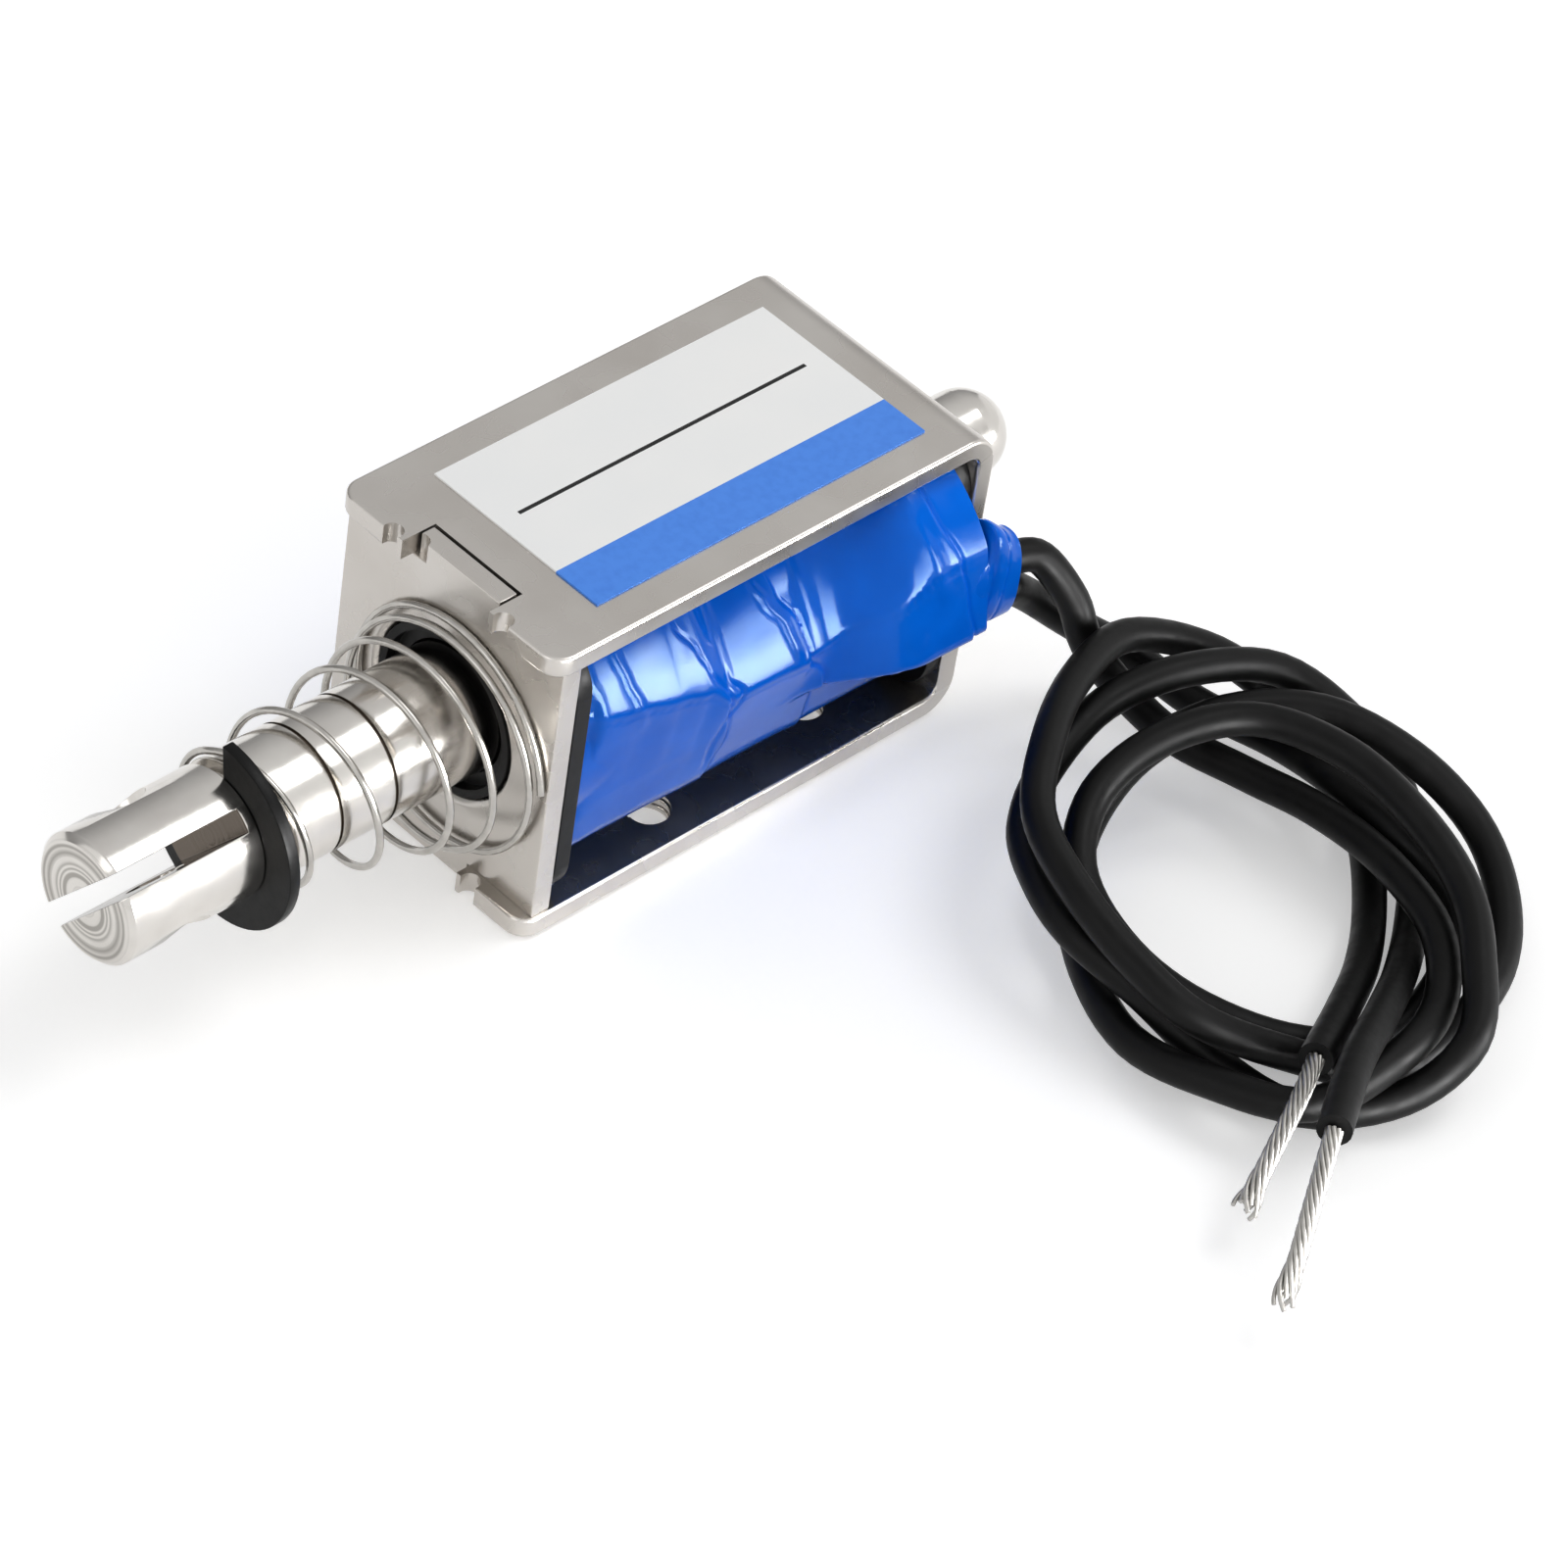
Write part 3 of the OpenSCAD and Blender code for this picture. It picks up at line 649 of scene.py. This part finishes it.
# The ridge where the upper slope of the wrap turns down: (x, degrees above level)
RIDGE = [(12, 25), (8.7, 21), (6.1, 16.7), (4.3, 13.8), (2.7, 6.6), (2.2, 5.6), (-0.8, 5.4),
         (-2.4, 4.6), (-3.2, 6.2), (-6, 13.8), (-9.3, 22.5), (-12.75, 21.5)]
# Edges of the tape's turns: (degrees, x) down each edge, and its step in mm
TURNS = [
    ([(75, 7.4), (42, 5.5), (29, 4.5), (21.6, 4.1), (5.7, 2.8), (-18.5, 2.05), (-27, 2.4),
      (-60, 3.4)], 0.17),
    ([(75, -0.6), (31.8, -1.6), (20.6, -2.4), (4.7, -2.7), (-5.6, -3.9), (-15.8, -4.0),
      (-60, -4.6)], 0.15),
    ([(75, -9.6), (36, -10.2), (21, -10.9), (10.3, -11.3), (-6.7, -11.9), (-60, -12.6)], 0.12),
]
# Folds: (degrees, x) down each fold, its height and its half width in mm
FOLDS = [
    ([(48, 9.5), (42.9, 9.4), (31.4, 9.1), (23.6, 8.75), (14, 8.3)], 0.10, 0.30),
    ([(32, 11.3), (27, 11.35), (16, 11.45), (7, 11.9), (-18, 12.3)], -0.25, 0.35),
    ([(40, -0.4), (31.8, -0.8), (20.6, -1.6), (8, -1.9)], 0.12, 0.30),
    ([(14, 2.75), (5.7, 1.9), (-8, 2.7), (-18.5, 2.9), (-27, 2.9)], -0.12, 0.16),
    ([(36, -8.9), (24, -9.3), (12, -9.8)], 0.10, 0.45),
]

# How far the ridge stands out from the axis over the soldered joints: (x, mm)
SWELL = [(-0.5, 6.6), (-9.1, 11.35), (-12.75, 11.35)]


def ray_to_circle(here, ridge, ridge_r, normal, radius):
    """Reach at an angle to a circle that passes the ridge with the given normal."""
    cy = ridge_r * math.cos(ridge) - radius * math.cos(normal)
    cz = ridge_r * math.sin(ridge) - radius * math.sin(normal)
    inward = cy * math.cos(here) + cz * math.sin(here)
    return inward + math.sqrt(max(radius ** 2 - cy ** 2 - cz ** 2 + inward ** 2, 0))


def ridged(deg, x, ridge_r, normal_deg, lean_deg, slope_r):
    """Reach of a tight profile: a flat face below the ridge and a rounded slope above it."""
    here, ridge, normal, lean = (math.radians(a) for a in (deg, along(x, RIDGE), normal_deg,
                                                           lean_deg))
    slope = ray_to_circle(here, ridge, ridge_r, normal, slope_r)
    face = ridge_r * math.cos(ridge - lean) / max(math.cos(here - lean), 0.3)
    return soft_min(slope, face, 0.10)


def tight_wrap(deg, x):
    """Reach of the tape round the winding, stretched flat from its ridge to its underside."""
    under = -33  # degrees at which the wrap turns under
    lean = (along(x, RIDGE) + under) / 2
    tight = ridged(deg, x, ridge_r=8.8, normal_deg=24, lean_deg=lean, slope_r=15)
    reach = soft_min(tight, 9.0, 0.25)
    # it is drawn in where it meets the flanges
    drawn = 0.45 * between((deg + 25) / 15, 0, 1)
    return reach - drawn * (bump(TAPE_FRONT - x, 0.5) + bump(x - TAPE_REAR, 0.6))


def joint_bulge(deg, x):
    """Reach of the tape over the two soldered joints, which closes again beneath them."""
    over = ridged(deg, x, ridge_r=along(x, SWELL), normal_deg=30, lean_deg=10, slope_r=9)
    # a flat 4.65 mm from the axis, which faces 70 degrees below level
    beneath = 4.65 / max(math.cos(math.radians(deg + 70)), 0.05)
    return soft_min(over, beneath, 0.5)


def creases(deg, x, reach):
    """What the doubled ridge, the edges of the turns and the folds add to the reach."""
    # a fine groove runs just under the ridge, where the tape is folded double
    down = math.radians(along(x, RIDGE) - deg) * reach
    added = -0.07 * bump(down - 0.30, 0.09)
    for line, step in TURNS:
        past = x - along(deg, line)
        # a turn lies a step higher past its edge, and settles again over 2.8 mm
        edge = 0.5 + 0.5 * math.tanh(past / 0.07)
        settled = edge * math.exp(-max(past, 0) / 2.8) - 0.3
        groove = 0.10 * bump(past + 0.1, 0.12)
        added += step * settled - groove
    for line, height, half_width in FOLDS:
        # a fold reaches 5 degrees past its first and last points, and fades out over 9
        top, bottom = line[0][0] + 5, line[-1][0] - 5
        if top > deg > bottom:
            fade = min(1, (top - deg) / 9, (deg - bottom) / 9)
            added += height * bump(x - along(deg, line), half_width) * fade
    return added


def wrap_radii(deg, x):
    """Outer and inner radius of the tape at an angle above level on the lead side, mm."""
    body = tight_wrap(deg, x)
    reach = soft_max(body, joint_bulge(deg, x), 0.9)
    # where it stands off the winding, it is hollow
    hollow = between((reach - body) / 0.4, 0, 1)
    reach += creases(deg, x, reach)
    # broad waves, and finer ones over them
    reach += 0.05 * noise.noise(Vector((x / 5, deg / 26, 3.1)))
    reach += 0.012 * noise.noise(Vector((x / 1.6, deg / 9, 8.4)))
    return reach, INNER_R + (reach - FILM - INNER_R) * hollow


def coil_ring(x, points):
    """The tape's outer and inner points round the axis at one place along it."""
    outer, inner = [], []
    for k in range(points):
        deg = 360 * k / points - 180
        a = math.radians(deg)
        if abs(deg) <= 90:
            far, near = wrap_radii(deg, x)
        else:
            # the far side is the lead side turned about, without its bulge
            far, near = wrap_radii(math.copysign(180 - abs(deg), -deg), x / 2 + 5)[0], INNER_R
        plate = PLATE_SIDE / max(abs(math.sin(a)), 0.01)
        far = max(soft_min(far, plate, 0.3), INNER_R + 0.05)
        near = between(near, INNER_R, far - 0.05)
        outer.append(Vector((x, far * math.cos(a), AXIS_Z + far * math.sin(a))))
        inner.append(Vector((x, near * math.cos(a), AXIS_Z + near * math.sin(a))))
    return outer, inner


def wrapped_coil():
    """The tape over the winding: one closed shell, drawn tight at the plates and slack between."""
    rings, points = 230, 280
    pairs = [coil_ring(TAPE_REAR + (TAPE_FRONT - TAPE_REAR) * i / rings, points)
             for i in range(rings + 1)]
    outer = [pair[0] for pair in pairs]
    # the unseen inside needs only half as many rings
    inner = [pair[1] for pair in pairs[::2]]
    mesh = new_mesh("coil_wrap", outer + inner[::-1])
    smooth(mesh, sharp_deg=60)
    return new_object("coil_wrap", mesh)


dress(wrapped_coil(), "blue_tape", "housing", "coil_tape")

COVER_FRONT, COVER_REAR = -11.6, -14.88
# The cover's middle and half size across and, from the axis, up: (x, mm)
COVER_MID_Y = [(-11.6, 9.78), (-13.3, 9.66), (-14.9, 9.8)]
COVER_HALF_Y = [(-11.6, 1.05), (-12.7, 1.2), (-13.4, 1.4), (-14.9, 1.24)]
COVER_MID_Z = [(-11.6, 0.8), (-12.7, 1.1), (-13.3, 1.85), (-14.9, 1.3)]
COVER_HALF_Z = [(-11.6, 2.2), (-12.7, 2.6), (-13.3, 3.25), (-14.9, 2.75)]
# Folds round the cover: x, depth as a share of its size, and half width
COVER_FOLDS = [(-12.95, 0.04, 0.12), (-13.9, 0.045, 0.1)]


def cover_ring(x, inset, points):
    """The cover's outline at one place along the axis, inset from its outside."""
    ring = []
    boxy = 2.6  # an ellipse at 2; more gives flatter sides
    for k in range(points):
        a = math.tau * k / points
        cos, sin = math.cos(a), math.sin(a)
        swell = 1 / (abs(cos) ** boxy + abs(sin) ** boxy) ** (1 / boxy)
        for place, depth, half_width in COVER_FOLDS:
            # each fold runs a little askew
            askew = place - 0.25 * sin + 0.1 * cos
            swell -= depth * bump(x - askew, half_width)
        swell += 0.02 * noise.noise(Vector((x / 2, 1.6 * cos, 1.6 * sin)))
        y = along(x, COVER_MID_Y) + (along(x, COVER_HALF_Y) * swell - inset) * cos
        z = AXIS_Z + along(x, COVER_MID_Z) + (along(x, COVER_HALF_Z) * swell - inset) * sin
        ring.append(Vector((x, y, z)))
    return ring


def joint_cover():
    """Tape round the two soldered joints, from inside the wrap until it closes on the leads."""
    rings, points = 90, 96
    places = [COVER_FRONT + (COVER_REAR - COVER_FRONT) * i / rings for i in range(rings + 1)]
    outer = [cover_ring(x, 0, points) for x in places]
    inner = [cover_ring(x, FILM, points) for x in places]
    mesh = new_mesh("joint_cover", outer + inner[::-1])
    smooth(mesh, sharp_deg=60)
    return new_object("joint_cover", mesh)


dress(joint_cover(), "blue_tape", "housing", "lead_tape")


# ---------- return spring ----------

def spring_tree():
    """A conical spring: flat on the plate, rising ever faster, and flat behind the clip.

    Turns are counted from where the wire leaves the plate, and the first one is negative.
    """
    tree, given = node_tree("conical_spring", {
        "Wire radius": "Float", "Base radius": "Float", "End radius": "Float", "Base": "Float",
        "End": "Float", "Height": "Float", "Turns": "Float", "First turn": "Float",
        "Last turn": "Float", "Start": "Float", "Droop": "Float"})
    span = add(tree, "GeometryNodeCurvePrimitiveLine", {"End": (1, 0, 0)})["Curve"]
    line = add(tree, "GeometryNodeResampleCurve", {"Curve": span, "Count": 300})["Curve"]
    share = add(tree, "GeometryNodeSplineParameter")["Factor"]
    turned = add(tree, "ShaderNodeMapRange", {"Value": share, "To Min": given["First turn"],
                                              "To Max": given["Last turn"]})["Result"]
    risen = add(tree, "ShaderNodeMapRange", {"Value": turned,
                                             "From Max": given["Turns"]})["Result"]
    lift = add(tree, "ShaderNodeFloatCurve", {"Value": risen},
               stops=[(0, 0), (1, 1), (0.15, 0.03), (0.3, 0.13), (0.45, 0.235), (0.6, 0.39),
                      (0.75, 0.63), (0.88, 0.81)])["Value"]
    x = add(tree, "ShaderNodeMapRange", {"Value": lift, "To Min": given["Base"],
                                         "To Max": given["End"]})["Result"]
    middle = add(tree, "ShaderNodeCombineXYZ", {"X": x, "Z": given["Height"]})["Vector"]
    radius = add(tree, "ShaderNodeMapRange", {"Value": risen, "To Min": given["Base radius"],
                                              "To Max": given["End radius"]})["Result"]
    angle = add(tree, "ShaderNodeMath", {0: turned, 1: math.tau, 2: given["Start"]},
                operation="MULTIPLY_ADD")["Value"]
    spoke = add(tree, "ShaderNodeCombineXYZ", {"Y": radius})["Vector"]
    round_axis = add(tree, "ShaderNodeVectorRotate", {"Vector": spoke, "Axis": (1, 0, 0),
                                                      "Angle": angle})["Vector"]
    # the wide end lies loose on the plate and has slipped down to one side
    low = add(tree, "ShaderNodeMapRange", {"Value": risen, "To Min": given["Droop"],
                                           "To Max": 0.0})["Result"]
    hung = add(tree, "ShaderNodeVectorMath", {0: low, 1: (0, 0.82, -0.58), 2: round_axis},
               operation="MULTIPLY_ADD")["Vector"]
    place = add(tree, "ShaderNodeVectorMath", {0: hung, 1: middle}, operation="ADD")["Vector"]
    wound = add(tree, "GeometryNodeSetPosition", {"Geometry": line,
                                                  "Position": place})["Geometry"]
    close_tree(tree, bar(tree, wound, given["Wire radius"], 12), "spring_wire")
    return tree


WIRE_R = 0.2
SEAT = WIRE_R + 0.03  # from the middle of the wire to what it rests on, with a hair's gap
spring = grow(new_object("return_spring_piece", bpy.data.meshes.new("seed")), spring_tree(),
              Wire_radius=WIRE_R * MM, Base_radius=6.75 * MM, End_radius=3.8 * MM,
              Base=(PLATE_X + SEAT) * MM, End=(CLIP_X - SEAT) * MM, Height=AXIS_Z * MM,
              Turns=4.96, First_turn=-0.35, Last_turn=5.81, Start=math.radians(133),
              Droop=1.0 * MM)
dress(spring, "spring_wire", "housing", "return_spring")
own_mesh(spring)


# ---------- threads of the mounting holes ----------

def thread_tree():
    """The ridge of an internal thread, wound down one hole."""
    tree, given = node_tree("screw_thread", {"Radius": "Float", "Depth": "Float",
                                             "Pitch": "Float", "Ridge": "Float"})
    turns = add(tree, "ShaderNodeMath", {0: given["Depth"], 1: given["Pitch"]},
                operation="DIVIDE")["Value"]
    wound = add(tree, "GeometryNodeCurveSpiral",
                {"Resolution": 40, "Rotations": turns, "Start Radius": given["Radius"],
                 "End Radius": given["Radius"], "Height": given["Depth"]})["Curve"]
    close_tree(tree, bar(tree, wound, given["Ridge"], 4), "plated_sheet")
    return tree


def hole_threads():
    """M3 threads, 0.5 mm apart, in the two mounting holes of the bottom plate."""
    run_out = 0.1  # plain metal at each end of the hole
    pitch, ridge_r, sunk = 0.5, 0.13, 0.02
    tree = thread_tree()
    for mount in RECORD["mounts"]:
        if mount["kind"] != "threaded_hole":
            continue
        name = mount["name"].replace("mounting_hole", "thread")
        depth = mount["dims"]["length_mm"] - 2 * run_out
        ridge = grow(new_object(name, bpy.data.meshes.new("seed")), tree,
                     Radius=(mount["dims"]["r_mm"] + sunk) * MM, Depth=depth * MM,
                     Pitch=pitch * MM, Ridge=ridge_r * MM)
        x, y, z = mount["pos_m"]
        ridge.data.transform(Matrix.Translation((x, y, z - depth / 2 * MM)))
        dress(ridge, "plated_sheet", "housing")


hole_threads()


# ---------- solids with softened edges ----------

def near_stakes(p):
    """The notch and the punch marks at the front of the yoke's plates."""
    return p.x > 12.5 and abs(p.y) < 4.7


def in_frame_cuts(p):
    """Notches, punch marks, screw holes and the core's hole."""
    drilled = p.z < 1.3 and abs(p.y) < 7 and abs(p.x) < 9.5
    cored = p.x < -13.5 and math.hypot(p.y, p.z - AXIS_Z) < 3.4
    return near_stakes(p) or drilled or cored


def near_tab_punch(p):
    """The punch mark that cuts into the front plate's upper tab."""
    return p.z > 16.2 and -3.4 < p.y < -2.1


def in_turned_marks(p):
    """The two marks turned round the plunger."""
    return any(abs(p.x - middle) < 0.5 for middle in TURNED_MARKS)


dress(softened("frame", 0.2, in_frame_cuts, 3), "plated_sheet", "housing", "frame")
dress(softened("front_plate", 0.12, near_tab_punch), "plated_sheet", "housing", "front_plate")
dress(softened("plunger", 0.05, in_turned_marks), "turned_steel", "plunger", "plunger")
dress(softened("retaining_clip", 0.06), "black_oxide", "clip", "retaining_clip")
dress(softened("bobbin", 0.07), "bobbin_black", "housing", "bobbin")

for entry in RECORD["subparts"]:
    carried = NODES[entry["node"]]
    carried.data.materials.clear()
    carried.data.materials.append(FINISHES[entry["material_slot"]])


# ---------- studio ----------

def lamp(name, place, size, radiance, height=None):
    """A soft box of the given brightness, aimed at the object; its place and size are in metres."""
    data = bpy.data.lights.new(name, "AREA")
    data.shape = "RECTANGLE"
    data.size = size
    data.size_y = height or size
    data.energy = math.pi * data.size * data.size_y * radiance
    holder = bpy.data.objects.new(name, data)
    holder.location = place
    holder.rotation_euler = (-Vector(place)).to_track_quat("-Z", "Y").to_euler()
    bpy.context.scene.collection.objects.link(holder)


def card(name, rows, strengths):
    """A panel that only reflections see; its light fades from row to row of corners, in mm."""
    mesh = bpy.data.meshes.new(name)
    corners = [Vector(p) * MM for row in rows for p in row]
    mesh.from_pydata(corners, [], [(2 * i, 2 * i + 1, 2 * i + 3, 2 * i + 2)
                                   for i in range(len(rows) - 1)])
    shade = mesh.attributes.new("glow", "FLOAT", "POINT")
    shade.data.foreach_set("value", [value for value in strengths for _ in range(2)])
    panel = new_object(name, mesh)
    material = bpy.data.materials.new(name)
    material.use_nodes = True
    tree = material.node_tree
    tree.nodes.remove(tree.nodes["Principled BSDF"])
    glow = add(tree, "ShaderNodeAttribute", attribute_name="glow")["Fac"]
    light = add(tree, "ShaderNodeEmission", {"Strength": glow})["Emission"]
    tree.links.new(light, tree.nodes["Material Output"].inputs["Surface"])
    mesh.materials.append(material)
    for kind in ("camera", "diffuse", "transmission", "volume_scatter", "shadow"):
        setattr(panel, "visible_" + kind, False)


FLOOR_LIFT = 0.36  # what the lit floor lacks to look white to the lens and in reflections


def background_seen(tree):
    """1 for what the lens sees straight or in metal and glass, 0 for light on the object."""
    path = add(tree, "ShaderNodeLightPath")
    direct = add(tree, "ShaderNodeMath", {0: path["Is Camera Ray"], 1: path["Is Glossy Ray"]},
                 operation="MAXIMUM")["Value"]
    return add(tree, "ShaderNodeMath", {0: direct, 1: path["Is Transmission Ray"]},
               operation="MAXIMUM")["Value"]


def pale_floor():
    """A matt floor just under the object, which takes its shadow."""
    side, drop = 1600, 0.2
    bpy.ops.mesh.primitive_plane_add(size=side * MM, location=(0, 0, -drop * MM))
    floor = bpy.context.object
    floor.name = "floor"
    material, tree, shader = finish("floor_paint", Roughness=0.9, Specular_IOR_Level=0.1,
                                    Base_Color=srgb("F4F4F4"), Emission_Color=srgb("FFFFFF"))
    lift = add(tree, "ShaderNodeMath", {0: background_seen(tree), 1: FLOOR_LIFT},
               operation="MULTIPLY")["Value"]
    tree.links.new(lift, shader.inputs["Emission Strength"])
    floor.data.materials.append(material)


def surround():
    """White to the lens and in reflections, and dimmer as light on the object."""
    world = bpy.data.worlds.new("surround")
    world.use_nodes = True
    tree = world.node_tree
    strength = add(tree, "ShaderNodeMapRange", {"Value": background_seen(tree),
                                                "To Min": 0.55, "To Max": 1.0})["Result"]
    background = tree.nodes["Background"]
    background.inputs["Color"].default_value = srgb("FFFFFF")
    tree.links.new(strength, background.inputs["Strength"])
    bpy.context.scene.world = world


def far_side():
    """The far side of the room, an arch that fades from the lamps to grey."""
    radius, left, right = 600, -1100, 500
    turns = [55, 70, 90, 110, 125, 145, 170, 182]
    strengths = [1.0, 0.92, 0.84, 0.78, 0.72, 0.55, 0.35, 0.25]
    rows = [[(x, radius * math.cos(math.radians(turn)), radius * math.sin(math.radians(turn)))
             for x in (left, right)] for turn in turns]
    card("far_side", rows, strengths)


def tape_lights():
    """Bright strips by the open side shine along the tape; a dark flag above them keeps it deep."""
    rows = ((115, 4), (114, 25), (110, 45), (104, 60))
    for name, left, right in (("strip", -92, -58), ("joint_strip", -15, 35)):
        card(name, [[(left, y, z), (right, y, z)] for y, z in rows], [38.0, 42.0, 18.0, 1.0])
    left, right = -70, -28
    card("flag", [[(left, y, z), (right, y, z)] for y, z in ((62, 43), (48, 70))], [0.06, 0.06])


pale_floor()
surround()
lamp("above", place=(-0.22, 0.10, 0.42), size=0.22, radiance=3.5)
lamp("window", place=(-0.26, 0.37, 0.05), size=0.26, radiance=7.0, height=0.1)
lamp("fill", place=(0.45, 0.0, 0.3), size=0.25, radiance=1.0)
far_side()
tape_lights()
bpy.context.scene.view_settings.view_transform = "Standard"
